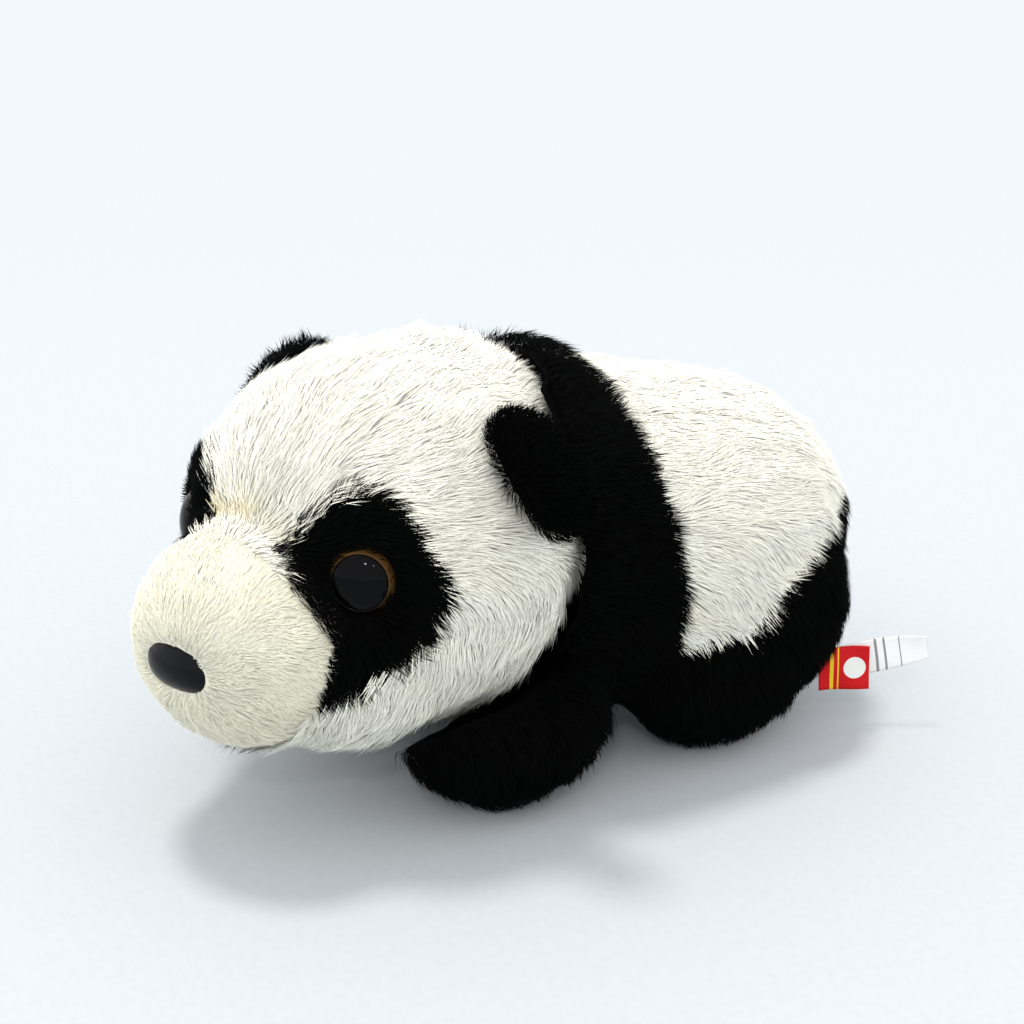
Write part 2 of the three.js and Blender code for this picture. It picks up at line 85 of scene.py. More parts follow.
# ---------------------------------------------------------------- places on the head, as in the CAD
HEAD_CENTRE = np.array([0.0, -43.5, 71.0]) * MM
HEAD_YAW = math.radians(18.5)
HEAD_RADII = np.array([58.0, 53.0, 54.0]) * MM
MUZZLE_CENTRE = np.array([-1.5, -49.0, -15.0]) * MM
MUZZLE_RADII = np.array([32.5, 27.0, 28.5]) * MM
EYE_AZIMUTH, EYE_ELEVATION = 39, 7
EYE_RADIUS, EYE_HEIGHT, EYE_SEAT = 9 * MM, 5.5 * MM, -5.0 * MM
STEM_RADIUS, STEM_LENGTH = 2 * MM, 12.5 * MM
PUPIL_RADIUS = 7.1 * MM
BRIDGE = np.array([0.0, -62.0, 8.0]) * MM    # the nap of the head spreads from here, over the nose's bridge
NOSE_HALF_WIDTH, NOSE_HALF_HEIGHT, NOSE_HEIGHT = 10.8 * MM, 6.2 * MM, 4.5 * MM
NOSE_X, NOSE_DROP, NOSE_SEAT = 1.3 * MM, -14.8 * MM, -4.2 * MM
NOSE_SQUARENESS = 2.3    # 2 is an ellipse, and more is squarer
EAR_SEATS = {"left": (87, 27), "right": (-105, 26)}
LABEL_ROOT = np.array([47.6, 76.3, 18.6]) * MM

HEAD_TURN = np.array(Matrix.Rotation(HEAD_YAW, 3, "Z"))


def unit(v):
    """v, or each row of v, at length 1."""
    return v / np.maximum(np.linalg.norm(v, axis=-1, keepdims=True), 1e-12)


def dots(a, b):
    """The dot product of each row of a with the same row of b, as a column."""
    return (a * b).sum(-1, keepdims=True)


def flattened(v, normal):
    """v without its part along normal, at length 1."""
    return unit(v - dots(v, normal) * normal)


def ramp(x, low, high):
    """0 below low, 1 above high, smooth between them."""
    t = np.clip((x - low) / (high - low), 0, 1)
    return t * t * (3 - 2 * t)


def to_head(points):
    return (points - HEAD_CENTRE) @ HEAD_TURN


def from_head(vectors):
    return vectors @ HEAD_TURN.T


def direction(azimuth, elevation):
    a, e = math.radians(azimuth), math.radians(elevation)
    return np.array([math.sin(a) * math.cos(e), -math.cos(a) * math.cos(e), math.sin(e)])


def on_head(azimuth, elevation):
    """A point on the head's main ball and the normal there, in the head's frame."""
    ray = direction(azimuth, elevation)
    point = ray / np.linalg.norm(ray / HEAD_RADII)
    return point, unit(point / HEAD_RADII**2)


def outward_frame(point, normal):
    """A 4x4 in the row frame from a point and normal in the head's frame: z outward, y up."""
    z = unit(from_head(normal))
    x = unit(np.cross([0.0, 0.0, 1.0], z))
    y = np.cross(z, x)
    made = np.eye(4)
    made[:3, 0], made[:3, 1], made[:3, 2] = x, y, z
    made[:3, 3] = from_head(point) + HEAD_CENTRE
    return made


def eye_frame(side):
    point, normal = on_head(side * EYE_AZIMUTH, EYE_ELEVATION)
    return outward_frame(point + EYE_SEAT * normal, normal)


def nose_frame():
    across = (NOSE_X - MUZZLE_CENTRE[0]) / MUZZLE_RADII[0]
    rise = (NOSE_DROP - MUZZLE_CENTRE[2]) / MUZZLE_RADII[2]
    share = np.array([across, -math.sqrt(1 - across**2 - rise**2), rise])
    normal = unit(share / MUZZLE_RADII)
    return outward_frame(MUZZLE_CENTRE + MUZZLE_RADII * share + NOSE_SEAT * normal, normal)


EYES = {name: eye_frame(side) for name, side in SIDES.items()}
NOSE = nose_frame()


def waves(points, size, seed):
    """Smooth noise, mostly from -1 to 1, made of plane waves about `size` long."""
    r = np.random.default_rng(seed)
    total = np.zeros(len(points))
    for _ in range(WAVE_COUNT):
        along = unit(r.normal(size=3))
        warp = unit(r.normal(size=3))
        turn = 2 * math.pi / (size * r.uniform(0.65, 1.5))
        bend = 0.9 * np.sin(points @ warp * turn * 0.6 + r.uniform(0, 6.28))
        total += np.sin(points @ along * turn + bend + r.uniform(0, 6.28))
    return total / math.sqrt(WAVE_COUNT * 0.5) * 0.75


# ---------------------------------------------------------------- meshes
def mesh_object(name, points, faces):
    mesh = bpy.data.meshes.new(name)
    mesh.from_pydata([tuple(p) for p in points], [], [tuple(f) for f in faces])
    mesh.polygons.foreach_set("use_smooth", np.ones(len(mesh.polygons), bool))
    mesh.update()
    made = bpy.data.objects.new(name, mesh)
    bpy.context.scene.collection.objects.link(made)
    return made


def coordinates(mesh):
    co = np.empty(len(mesh.vertices) * 3)
    mesh.vertices.foreach_get("co", co)
    return co.reshape(-1, 3)


def set_coordinates(mesh, co):
    mesh.vertices.foreach_set("co", np.asarray(co, float).ravel())
    mesh.update()


def vertex_normals(mesh):
    normals = np.empty(len(mesh.vertices) * 3)
    mesh.vertex_normals.foreach_get("vector", normals)
    return normals.reshape(-1, 3)


def triangles_of(mesh):
    mesh.calc_loop_triangles()
    made = np.empty(len(mesh.loop_triangles) * 3, np.int32)
    mesh.loop_triangles.foreach_get("vertices", made)
    return made.reshape(-1, 3)


def modified(obj, kind, **settings):
    """Adds one modifier to obj and applies it."""
    modifier = obj.modifiers.new(kind, kind)
    for name, value in settings.items():
        setattr(modifier, name, value)
    graph = bpy.context.evaluated_depsgraph_get()
    mesh = bpy.data.meshes.new_from_object(obj.evaluated_get(graph), depsgraph=graph)
    old = obj.data
    obj.modifiers.clear()
    obj.data = mesh
    bpy.data.meshes.remove(old)
    mesh.name = obj.name


def node_soup(names):
    """The points and triangles of several CAD nodes, and the place in names that each triangle has."""
    points, triangles, owners = [], [], []
    count = 0
    for index, name in enumerate(names):
        co = coordinates(nodes[name].data)
        tri = triangles_of(nodes[name].data)
        points.append(co)
        triangles.append(tri + count)
        owners.append(np.full(len(tri), index))
        count += len(co)
    return np.concatenate(points), np.concatenate(triangles), np.concatenate(owners)


def edge_array(mesh):
    edges = np.empty(len(mesh.edges) * 2, np.int32)
    mesh.edges.foreach_get("vertices", edges)
    return edges.reshape(-1, 2)


def largest_part(mesh):
    """The points and faces of the largest connected part of a mesh."""
    edges = edge_array(mesh)
    label = np.arange(len(mesh.vertices))
    while True:
        low = np.minimum(label[edges[:, 0]], label[edges[:, 1]])
        new = label.copy()
        np.minimum.at(new, edges[:, 0], low)
        np.minimum.at(new, edges[:, 1], low)
        new = new[new]
        if (new == label).all():
            break
        label = new
    kept = np.bincount(label).argmax()
    keep = label == kept
    points = coordinates(mesh)[keep]
    index = np.cumsum(keep) - 1
    faces = [[index[v] for v in p.vertices] for p in mesh.polygons if keep[p.vertices[0]]]
    return points, faces


def remeshed(name, names, voxel, smoothing):
    """One closed, even mesh round several CAD nodes."""
    points, triangles, _ = node_soup(names)
    made = mesh_object(name, points, triangles)
    modified(made, "REMESH", mode="VOXEL", voxel_size=voxel)
    points, faces = largest_part(made.data)
    old = made.data
    bpy.data.objects.remove(made)
    bpy.data.meshes.remove(old)
    made = mesh_object(name, points, faces)
    modified(made, "SMOOTH", factor=0.5, iterations=smoothing)
    return made


def spread(values, edges, rounds):
    """Averages each vertex's value with its neighbours', several times."""
    count = np.zeros(len(values))
    np.add.at(count, edges.ravel(), 1)
    shape = (-1,) + (1,) * (values.ndim - 1)
    for _ in range(rounds):
        total = np.zeros_like(values, dtype=float)
        np.add.at(total, edges[:, 0], values[edges[:, 1]])
        np.add.at(total, edges[:, 1], values[edges[:, 0]])
        values = 0.5 * values + 0.5 * total / np.maximum(count, 1).reshape(shape)
    return values


class Surface:
    """Nearest-point questions about some CAD nodes."""

    def __init__(self, names):
        self.names = list(names)
        points, triangles, owners = node_soup(self.names)
        self.owners = owners
        self.tree = BVHTree.FromPolygons(points.tolist(), triangles.tolist())

    def nearest(self, points):
        """For each point, which node is nearest and how far it is."""
        owner = np.zeros(len(points), int)
        distance = np.zeros(len(points))
        find = self.tree.find_nearest
        for i, p in enumerate(points.tolist()):
            _, _, face, d = find(p)
            owner[i] = self.owners[face]
            distance[i] = d
        return owner, distance


# ---------------------------------------------------------------- materials
def new_material(name):
    made = bpy.data.materials.new(name)
    made.use_nodes = True
    tree = made.node_tree
    shader = tree.nodes["Principled BSDF"]
    return made, tree, shader


def ramp_node(tree, factor, stops, steps="LINEAR"):
    node = tree.nodes.new("ShaderNodeValToRGB")
    node.color_ramp.interpolation = steps
    elements = node.color_ramp.elements
    while len(elements) > 1:
        elements.remove(elements[-1])
    elements[0].position = stops[0][0]
    elements[0].color = (*stops[0][1], 1)
    for position, colour in stops[1:]:
        elements.new(position).color = (*colour, 1)
    tree.links.new(factor, node.inputs["Fac"])
    return node.outputs["Color"]


def multiplied(tree, a, b):
    node = tree.nodes.new("ShaderNodeMix")
    node.data_type = "RGBA"
    node.blend_type = "MULTIPLY"
    node.inputs["Factor"].default_value = 1
    tree.links.new(a, node.inputs["A"])
    tree.links.new(b, node.inputs["B"])
    return node.outputs["Result"]


def noise_node(tree, vector, scale):
    node = tree.nodes.new("ShaderNodeTexNoise")
    node.inputs["Scale"].default_value = scale
    node.inputs["Detail"].default_value = 4
    node.inputs["Roughness"].default_value = 0.55
    tree.links.new(vector, node.inputs["Vector"])
    return node.outputs["Fac"]


def object_vector(tree):
    return tree.nodes.new("ShaderNodeTexCoord").outputs["Object"]


def uv_nodes(tree, layer):
    """A node that reads a UV layer, and one that splits it into u, as X, and v, as Y."""
    uv = tree.nodes.new("ShaderNodeUVMap")
    uv.uv_map = layer
    split = tree.nodes.new("ShaderNodeSeparateXYZ")
    tree.links.new(uv.outputs["UV"], split.inputs["Vector"])
    return uv, split


def bumped(tree, shader, height, strength, distance):
    node = tree.nodes.new("ShaderNodeBump")
    node.inputs["Strength"].default_value = strength
    node.inputs["Distance"].default_value = distance
    tree.links.new(height, node.inputs["Height"])
    tree.links.new(node.outputs["Normal"], shader.inputs["Normal"])


def pile_material(name, along, tones, roughness, sheen, sheen_tint, specular):
    """Colour runs along each strand from root to tip, and each strand has its own tone."""
    made, tree, shader = new_material(name)
    _, split = uv_nodes(tree, "OFBake")
    length_colour = ramp_node(tree, split.outputs["Y"], along)
    tone_colour = ramp_node(tree, split.outputs["X"], tones)
    tree.links.new(multiplied(tree, length_colour, tone_colour), shader.inputs["Base Color"])
    shader.inputs["Roughness"].default_value = roughness
    shader.inputs["Specular IOR Level"].default_value = specular
    shader.inputs["Sheen Weight"].default_value = sheen
    shader.inputs["Sheen Roughness"].default_value = 0.5
    shader.inputs["Sheen Tint"].default_value = (*sheen_tint, 1)
    return made


WHITE_PILE = pile_material(
    "white_pile",
    [(0.0, (0.96, 0.945, 0.85)), (0.4, (0.985, 0.975, 0.90)), (1.0, (0.995, 0.99, 0.935))],
    [(0.0, (0.86, 0.78, 0.55)), (0.3, (0.975, 0.95, 0.86)),
     (0.6, (1.0, 0.995, 0.925)), (1.0, (1.0, 1.0, 0.95))],
    roughness=0.85, sheen=0.2, sheen_tint=(1.0, 0.99, 0.95), specular=0.1)
CREAM_PILE = pile_material(
    "cream_pile",
    [(0.0, (0.93, 0.91, 0.78)), (0.4, (0.945, 0.93, 0.82)), (1.0, (0.95, 0.94, 0.845))],
    [(0.0, (0.80, 0.66, 0.42)), (0.35, (0.965, 0.93, 0.82)),
     (0.65, (1.0, 0.985, 0.88)), (1.0, (1.0, 0.995, 0.92))],
    roughness=0.85, sheen=0.2, sheen_tint=(1.0, 0.97, 0.9), specular=0.1)
BLACK_PILE = pile_material(
    "black_pile",
    [(0.0, (0.0005, 0.0005, 0.0006)), (0.5, (0.0010, 0.0011, 0.0012)), (1.0, (0.0028, 0.0030, 0.0031))],
    [(0.0, (0.5, 0.8, 0.6)), (0.4, (0.8, 0.95, 0.85)), (0.7, (1.0, 1.0, 1.0)), (1.0, (1.0, 0.95, 0.9))],
    roughness=0.8, sheen=0.0, sheen_tint=(1.0, 1.0, 1.0), specular=0.03)


def backing_material(name, low, high):
    """A knitted backing: fine rows of loops, with a slow change of colour."""
    made, tree, shader = new_material(name)
    vector = object_vector(tree)
    cells = tree.nodes.new("ShaderNodeTexVoronoi")
    cells.inputs["Scale"].default_value = 900
    tree.links.new(vector, cells.inputs["Vector"])
    slow = noise_node(tree, vector, 60)
    colour = ramp_node(tree, slow, [(0.3, low), (0.7, high)])
    shade = ramp_node(tree, cells.outputs["Distance"], [(0.0, (1, 1, 1)), (0.8, (0.88, 0.88, 0.88))])
    tree.links.new(multiplied(tree, colour, shade), shader.inputs["Base Color"])
    shader.inputs["Roughness"].default_value = 0.9
    shader.inputs["Specular IOR Level"].default_value = 0.03
    bumped(tree, shader, cells.outputs["Distance"], 0.5, 0.3 * MM)
    return made


WHITE_BACKING = backing_material("white_backing", (0.90, 0.88, 0.80), (0.95, 0.93, 0.86))
CREAM_BACKING = backing_material("cream_backing", (0.90, 0.86, 0.74), (0.94, 0.91, 0.80))
BLACK_BACKING = backing_material("black_backing", (0.001, 0.001, 0.0012), (0.002, 0.002, 0.0024))
FIBREFILL = backing_material("fibrefill", (0.78, 0.78, 0.76), (0.88, 0.88, 0.87))


# ---------------------------------------------------------------- the panels
# Each kind of pile: its look, its strands' length and its backing's depth under the CAD surface in mm, how
# steeply it rises, its strands per mm2, their width in mm, and how strongly they gather in tufts.
LONG_WHITE = dict(look="white", length=9.5, depth=3.6, rise=0.36, thick=3.0, width=0.26, clump=0.25)
CHIN_WHITE = dict(LONG_WHITE, thick=2.5)
RUMP_WHITE = dict(look="white", length=9.5, depth=3.6, rise=0.34, thick=2.6, width=0.28, clump=0.22)
LOW_WHITE = dict(look="white", length=7.5, depth=3.5, rise=0.40, thick=1.6, width=0.32, clump=0.3)
MUZZLE = dict(look="cream", length=4.2, depth=0.8, rise=0.42, thick=5.5, width=0.22, clump=0.35)
PATCH = dict(look="black", length=6.5, depth=1.6, rise=0.5, thick=3.6, width=0.28, clump=0.3)
BAND = dict(look="black", length=8.0, depth=3.0, rise=0.40, thick=2.4, width=0.30, clump=0.25)
LOW_BLACK = dict(look="black", length=7.5, depth=3.6, rise=0.42, thick=1.6, width=0.32, clump=0.4)
SOLE = dict(look="black", length=2.6, depth=1.2, rise=0.5, thick=1.6, width=0.34, clump=0.2)
EAR = dict(look="black", length=6.0, depth=0.8, rise=0.45, thick=3.4, width=0.28, clump=0.2)
TAIL = dict(look="white", length=8.0, depth=3.2, rise=0.42, thick=2.4, width=0.30, clump=0.45)

LOOKS = {
    "white": (WHITE_PILE, WHITE_BACKING, "white_plush"),
    "cream": (CREAM_PILE, CREAM_BACKING, "cream_plush"),
    "black": (BLACK_PILE, BLACK_BACKING, "black_plush"),
}

BODY_PANELS = {"chest_panel": LOW_BLACK, "belly_panel": LOW_WHITE}
HEAD_PANELS = {"forehead_panel": LONG_WHITE, "chin_panel": CHIN_WHITE}
for side in SIDES:
    BODY_PANELS[f"shoulder_panel_{side}"] = BAND
    BODY_PANELS[f"rump_panel_{side}"] = RUMP_WHITE
    BODY_PANELS[f"haunch_panel_{side}"] = BAND
    for leg in LEGS:
        BODY_PANELS[f"{leg}_cover_{side}"] = BAND
        BODY_PANELS[f"{leg}_sole_{side}"] = SOLE
    HEAD_PANELS[f"cheek_panel_{side}"] = LONG_WHITE
    HEAD_PANELS[f"muzzle_panel_{side}"] = MUZZLE
    HEAD_PANELS[f"eye_patch_{side}"] = PATCH

LEG_FILLINGS = {f"{leg}_filling_{side}": f"{leg}_stuffing_{side}" for leg in LEGS for side in SIDES}
BODY_FILLINGS = ["torso_stuffing", *LEG_FILLINGS.values()]
HEAD_FILLINGS = ["head_stuffing", "muzzle_stuffing"]


def attach(obj, panel):
    """Moves a piece with its CAD panel. A leg's cover meets the torso at its top but is attached to no body,
    so it stays where it is built.
    """
    for leg in LEGS:
        for side in SIDES:
            if panel == f"{leg}_cover_{side}":
                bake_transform(obj)
                return
    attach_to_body(obj, nodes[panel]["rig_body"])


# ---------------------------------------------------------------- sewn skins
CLOTH_FRAMES = 20
CLOTH_SETTINGS = {
    "quality": 4, "mass": 0.15, "tension_stiffness": 15, "compression_stiffness": 15, "shear_stiffness": 5,
    "bending_stiffness": 0.5, "use_pressure": True, "uniform_pressure_force": 4, "vertex_group_mass": "pins",
}
RESTING_HEIGHT = 5 * MM      # fabric lower than this lies on the floor and isn't blown up


def inflated(skin, pins, cap):
    """Blows the sewn cover up with cloth pressure. Points pinned to 1 stay, and none moves more than cap."""
    start = coordinates(skin.data)
    group = skin.vertex_groups.new(name="pins")
    for level in np.unique(np.round(pins, 1)):
        chosen = np.nonzero(np.round(pins, 1) == level)[0]
        if level > 0:
            group.add(chosen.tolist(), float(level), "REPLACE")
    cloth = skin.modifiers.new("Cloth", "CLOTH")
    for setting, value in CLOTH_SETTINGS.items():
        setattr(cloth.settings, setting, value)
    cloth.settings.effector_weights.gravity = 0
    cloth.collision_settings.use_collision = False
    cloth.point_cache.frame_start = 1
    cloth.point_cache.frame_end = CLOTH_FRAMES
    scene = bpy.context.scene
    for number in range(1, CLOTH_FRAMES + 1):
        scene.frame_set(number)
    graph = bpy.context.evaluated_depsgraph_get()
    blown = coordinates(skin.evaluated_get(graph).data)
    skin.modifiers.clear()
    scene.frame_set(1)
    move = blown - start
    size = np.linalg.norm(move, axis=1, keepdims=True)
    move *= np.minimum(1, cap / np.maximum(size, 1e-9))
    move = spread(move, edge_array(skin.data), 2)
    set_coordinates(skin.data, start + move)


def sewn_skin(name, panels, fillings, voxel, hidden, cap):
    """One even mesh just under a padded part's pile, blown up between its seams."""
    skin = remeshed(name, [*panels, *fillings], voxel, 4)
    surface = Surface(panels)
    co = coordinates(skin.data)
    owner, _ = surface.nearest(co)
    depths = np.array([panels[p]["depth"] * MM for p in surface.names])
    edges = edge_array(skin.data)
    depth = spread(depths[owner], edges, 4)
    normals = vertex_normals(skin.data)
    inside = hidden(co, normals)
    depth *= 1 - ramp(inside, 0.5, 1.0)
    set_coordinates(skin.data, co - normals * depth[:, None])
    owner, _ = surface.nearest(coordinates(skin.data))
    seam = (owner[edges[:, 0]] != owner[edges[:, 1]]).astype(float)
    pins = np.zeros(len(co))
    np.maximum.at(pins, edges[:, 0], seam)
    np.maximum.at(pins, edges[:, 1], seam)
    pins = np.maximum(pins, (inside > 0.1).astype(float))
    pins = np.maximum(pins, (co[:, 2] < RESTING_HEIGHT).astype(float))
    inflated(skin, pins, cap)
    modified(skin, "SUBSURF", levels=1, render_levels=1)
    return skin, surface


# ---------------------------------------------------------------- pile
def strand_mesh(name, root, middle, tip, sides, ups, width, skin_normal, tone, material):
    """Closed strands: a point at the root, a ring of three in the middle, and a point at the tip."""
    count = len(tip)
    points, normals = [root], [skin_normal]
    for corner in range(3):
        angle = 2 * math.pi * corner / 3
        out = sides * math.sin(angle) + ups * (0.6 * math.cos(angle))
        points.append(middle + out * (width * 0.5)[:, None])
        normals.append(unit(skin_normal + 0.12 * unit(out)))
    points.append(tip)
    normals.append(skin_normal)
    points = np.stack(points, 1).reshape(-1, 3)
    normals = np.stack(normals, 1).reshape(-1, 3)
    faces = [(0, 2, 1), (0, 3, 2), (0, 1, 3), (1, 2, 4), (2, 3, 4), (3, 1, 4)]
    loops = ((np.arange(count) * 5)[:, None] + np.array(faces).ravel()).ravel()
    mesh = bpy.data.meshes.new(name)
    mesh.vertices.add(len(points))
    mesh.vertices.foreach_set("co", points.ravel())
    mesh.loops.add(len(loops))
    mesh.loops.foreach_set("vertex_index", loops.astype(np.int32))
    mesh.polygons.add(count * 6)
    mesh.polygons.foreach_set("loop_start", np.arange(0, count * 18, 3, dtype=np.int32))
    mesh.polygons.foreach_set("loop_total", np.full(count * 6, 3, np.int32))
    mesh.polygons.foreach_set("use_smooth", np.ones(count * 6, bool))
    mesh.update(calc_edges=True)
    across = np.array([0.0, -0.02, 0.0, 0.02, 0.0])
    heights = np.array([0.02, 0.5, 0.5, 0.5, 0.98])
    u = (np.clip(tone, 0.03, 0.97)[:, None] + across).ravel()
    v = np.tile(heights, count)
    layer = mesh.uv_layers.new(name="OFBake")
    layer.uv.foreach_set("vector", np.stack([u[loops], v[loops]], 1).astype(np.float32).ravel())
    mesh.materials.append(material)
    mesh.normals_split_custom_set_from_vertices(normals.astype(np.float32))
    made = bpy.data.objects.new(name, mesh)
    bpy.context.scene.collection.objects.link(made)
    return made


def sampled(skin, thick, seed):
    """Even random roots on a skin: places, smooth normals. thick is strands per mm2 at each vertex."""
    r = np.random.default_rng(seed)
    mesh = skin.data
    co, normals, triangles = coordinates(mesh), vertex_normals(mesh), triangles_of(mesh)
    a, b, c = (co[triangles[:, k]] for k in range(3))
    area = 0.5 * np.linalg.norm(np.cross(b - a, c - a), axis=1) / MM**2
    wanted = area * thick[triangles].mean(1)
    total = int(wanted.sum())
    spread_out = (np.arange(total) + r.random(total)) / total
    chosen = np.searchsorted(np.cumsum(wanted), spread_out * wanted.sum())
    chosen = np.minimum(chosen, len(triangles) - 1)
    u, v = r.random(total), r.random(total)
    over = u + v > 1
    u[over], v[over] = 1 - u[over], 1 - v[over]
    w = 1 - u - v
    t = triangles[chosen]
    shares = np.stack([w, u, v], 1)[:, :, None]
    return (co[t] * shares).sum(1), unit((normals[t] * shares).sum(1))


def clumped(place, r):
    """For each root, the index of the root that leads its tuft."""
    count = max(2, int(len(place) / TUFT_SIZE))
    leaders = r.choice(len(place), count, replace=False)
    tree = KDTree(count)
    for i, leader in enumerate(leaders):
        tree.insert(place[leader], i)
    tree.balance()
    return np.array([leaders[tree.find(p)[1]] for p in place])


def grow(panel, spec, place, normal, flow, tone, lift, seed):
    """The pile of one panel, as one mesh of tapered strands that lie along flow."""
    r = np.random.default_rng(seed)
    count = len(place)
    wide = waves(place, 26 * MM, seed + 1) * 0.30
    fine = waves(place, 8 * MM, seed + 2) * 0.16
    turn = wide + fine + r.normal(size=count) * 0.12
    across = np.cross(normal, flow)
    flow = unit(flow * np.cos(turn)[:, None] + across * np.sin(turn)[:, None])
    scatter = 0.85 + 0.12 * waves(place, 14 * MM, seed + 3) + 0.14 * r.normal(size=count)
    length = spec["length"] * MM * np.clip(scatter, 0.4, 1.35)
    scatter = 1 + 0.14 * waves(place, 10 * MM, seed + 4) + 0.12 * r.normal(size=count)
    rise = np.clip(spec["rise"] * scatter + lift, 0.12, 0.85)
    steep = np.clip(rise * 1.5, 0, 0.95)[:, None]
    low = (rise * TIP_DROOP)[:, None]
    first = flow * np.sqrt(1 - steep**2) + normal * steep
    second = flow * np.sqrt(1 - low**2) + normal * low
    root = place - normal * ROOT_DEPTH
    middle = root + first * (length * BEND_AT)[:, None]
    tip = middle + second * (length * (1 - BEND_AT))[:, None]
    leader = clumped(place, r)
    shift = place - place[leader]
    pull = (spec["clump"] * r.uniform(0.5, 1.3, count))[:, None]
    tip = tip + (tip[leader] + 0.3 * shift - tip) * pull
    middle = middle + (middle[leader] + 0.7 * shift - middle) * (0.5 * pull)
    for points in (middle, tip):
        points[:, 2] = np.maximum(points[:, 2], SUPPORT)
    along = unit(tip - root)
    sides = unit(np.cross(along, normal))
    ups = np.cross(sides, along)
    width = spec["width"] * MM * r.uniform(0.75, 1.25, count)
    sway = 0.05 * waves(place, 7 * MM, seed + 5)[:, None] * across
    bent = unit(normal + sway + 0.02 * r.normal(size=(count, 3)))
    tone = tone + 0.06 * r.normal(size=count)
    pile, _, _ = LOOKS[spec["look"]]
    return strand_mesh(f"{panel}_pile", root, middle, tip, sides, ups, width, bent, tone, pile)


def backing_piece(panel, skin, owner_of_face, index, material):
    """One panel of backing fabric, cut from the sewn skin and given its thickness inward."""
    mesh = skin.data
    co = coordinates(mesh)
    faces = [p.vertices[:] for p, o in zip(mesh.polygons, owner_of_face) if o == index]
    used = np.unique([v for f in faces for v in f])
    remap = {v: i for i, v in enumerate(used.tolist())}
    made = mesh_object(f"{panel}_backing", co[used], [[remap[v] for v in f] for f in faces])
    modified(made, "SOLIDIFY", thickness=0.7 * MM, offset=-1, use_rim=True)
    made.data.materials.clear()
    made.data.materials.append(material)
    return made


def body_flow(panel, place, normal):
    """Nap of the torso and legs: to the rear and down."""
    side = np.sign(place[:, :1])
    if "cover" in panel or "haunch" in panel or "sole" in panel:
        wanted = np.tile([0.0, 0.35, -1.0], (len(place), 1))
    elif "belly" in panel or "chest" in panel:
        wanted = np.tile([0.0, 1.0, -0.2], (len(place), 1))
    else:
        low = ramp(place[:, 2], 100 * MM, 40 * MM)[:, None]
        wanted = np.tile([0.0, 1.0, 0.0], (len(place), 1)) + low * np.array([0.0, -0.15, -1.0])
    wanted = wanted + side * np.array([0.12, 0.0, 0.0])
    rim = lip_share(place)[:, None] * float("sole" not in panel)
    outward = unit(place - HEAD_CENTRE)
    wanted = unit(wanted) * (1 - rim) + (outward * 0.8 + np.array([0.0, 0.2, 0.0])) * rim
    return flattened(wanted, normal)


def head_flow(panel, place, normal):
    """Nap of the head: back from the bridge of the nose, and down over the cheeks and chin."""
    local = to_head(place)
    if "eye_patch" in panel:
        name = panel.split("_")[-1]
        centre = to_head(EYES[name][:3, 3])
        wanted = 0.45 * unit(local - centre) + unit(local - BRIDGE)
        wanted = wanted + np.array([0.0, 0.1, -0.5])
    elif "muzzle" in panel:
        tip = to_head(NOSE[:3, 3])
        wanted = unit(local - tip) + np.array([0.0, 0.0, -0.15])
    else:
        back = unit(local - BRIDGE)
        low = ramp(local[:, 2], 16 * MM, -22 * MM)[:, None]
        down = np.array([0.0, -0.45, -1.0])
        wanted = back * (1 - low) + down * low
    return flattened(from_head(wanted), normal)


def tone_of(panel, place):
    """How light each root's strand is: slow patches, and a darker, yellower ring along the crease round the
    muzzle.
    """
    tone = 0.66 + 0.12 * waves(place, 22 * MM, TONE_SEED) + 0.04 * waves(place, 7 * MM, TONE_SEED + 1)
    if "muzzle" in panel or "cheek" in panel or "forehead" in panel:
        local = to_head(place)
        reach = np.linalg.norm((local - MUZZLE_CENTRE) / MUZZLE_RADII, axis=1)
        crease = np.exp(-((reach - 1.06) / 0.12) ** 2) * ramp(local[:, 1], -70 * MM, -50 * MM)
        tone = tone - 0.55 * crease
    return tone


def furred(name, panels, fillings, voxel, hidden, cap, flow, seed, clear_of=(), lift_of=None):
    """Backing and pile of every panel of one padded part. Returns its skin, which fillings stay inside."""
    skin, surface = sewn_skin(name, panels, fillings, voxel, hidden, cap)
    mesh = skin.data
    centres = np.empty(len(mesh.polygons) * 3)
    mesh.polygons.foreach_get("center", centres)
    centres = centres.reshape(-1, 3)
    owner_of_face, _ = surface.nearest(centres)
    for index, panel in enumerate(surface.names):
        if not (owner_of_face == index).any():
            continue
        _, back_mat, slot = LOOKS[panels[panel]["look"]]
        made = backing_piece(panel, skin, owner_of_face, index, back_mat)
        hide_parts(panel)
        attach(made, panel)
    vertex_owner, _ = surface.nearest(coordinates(mesh))
    thick = np.array([panels[p]["thick"] for p in surface.names])[vertex_owner]
    lengths = np.array([panels[p]["length"] for p in surface.names]) * MM
    place, normal = sampled(skin, thick, seed)
    keep = hidden(place, normal) < 0.5
    for frame_of, half_width, half_height in clear_of:
        local = (place - frame_of[:3, 3]) @ frame_of[:3, :3]
        outside = (local[:, 0] / half_width) ** 2 + (local[:, 1] / half_height) ** 2 > 1
        keep &= outside | (local[:, 2] < CLEAR_TO)
    place, normal = place[keep], normal[keep]
    r = np.random.default_rng(seed + 1)
    first, _ = surface.nearest(place)
    lean = np.zeros_like(place)
    for index, panel in enumerate(surface.names):
        mine = first == index
        lean[mine] = flow(panel, place[mine], normal[mine]) * (lengths[index] * TIP_SHARE)
    owner, _ = surface.nearest(place + lean + r.normal(size=place.shape) * 0.5 * MM)
    for index, panel in enumerate(surface.names):
        mine = owner == index
        if mine.sum() < 20:
            continue
        spots = place[mine]
        lift = 0.0 if lift_of is None else lift_of(spots)
        made = grow(panel, panels[panel], spots, normal[mine], flow(panel, spots, normal[mine]),
                    tone_of(panel, spots), lift, seed + 10 * index)
        attach(made, panel)
    return skin


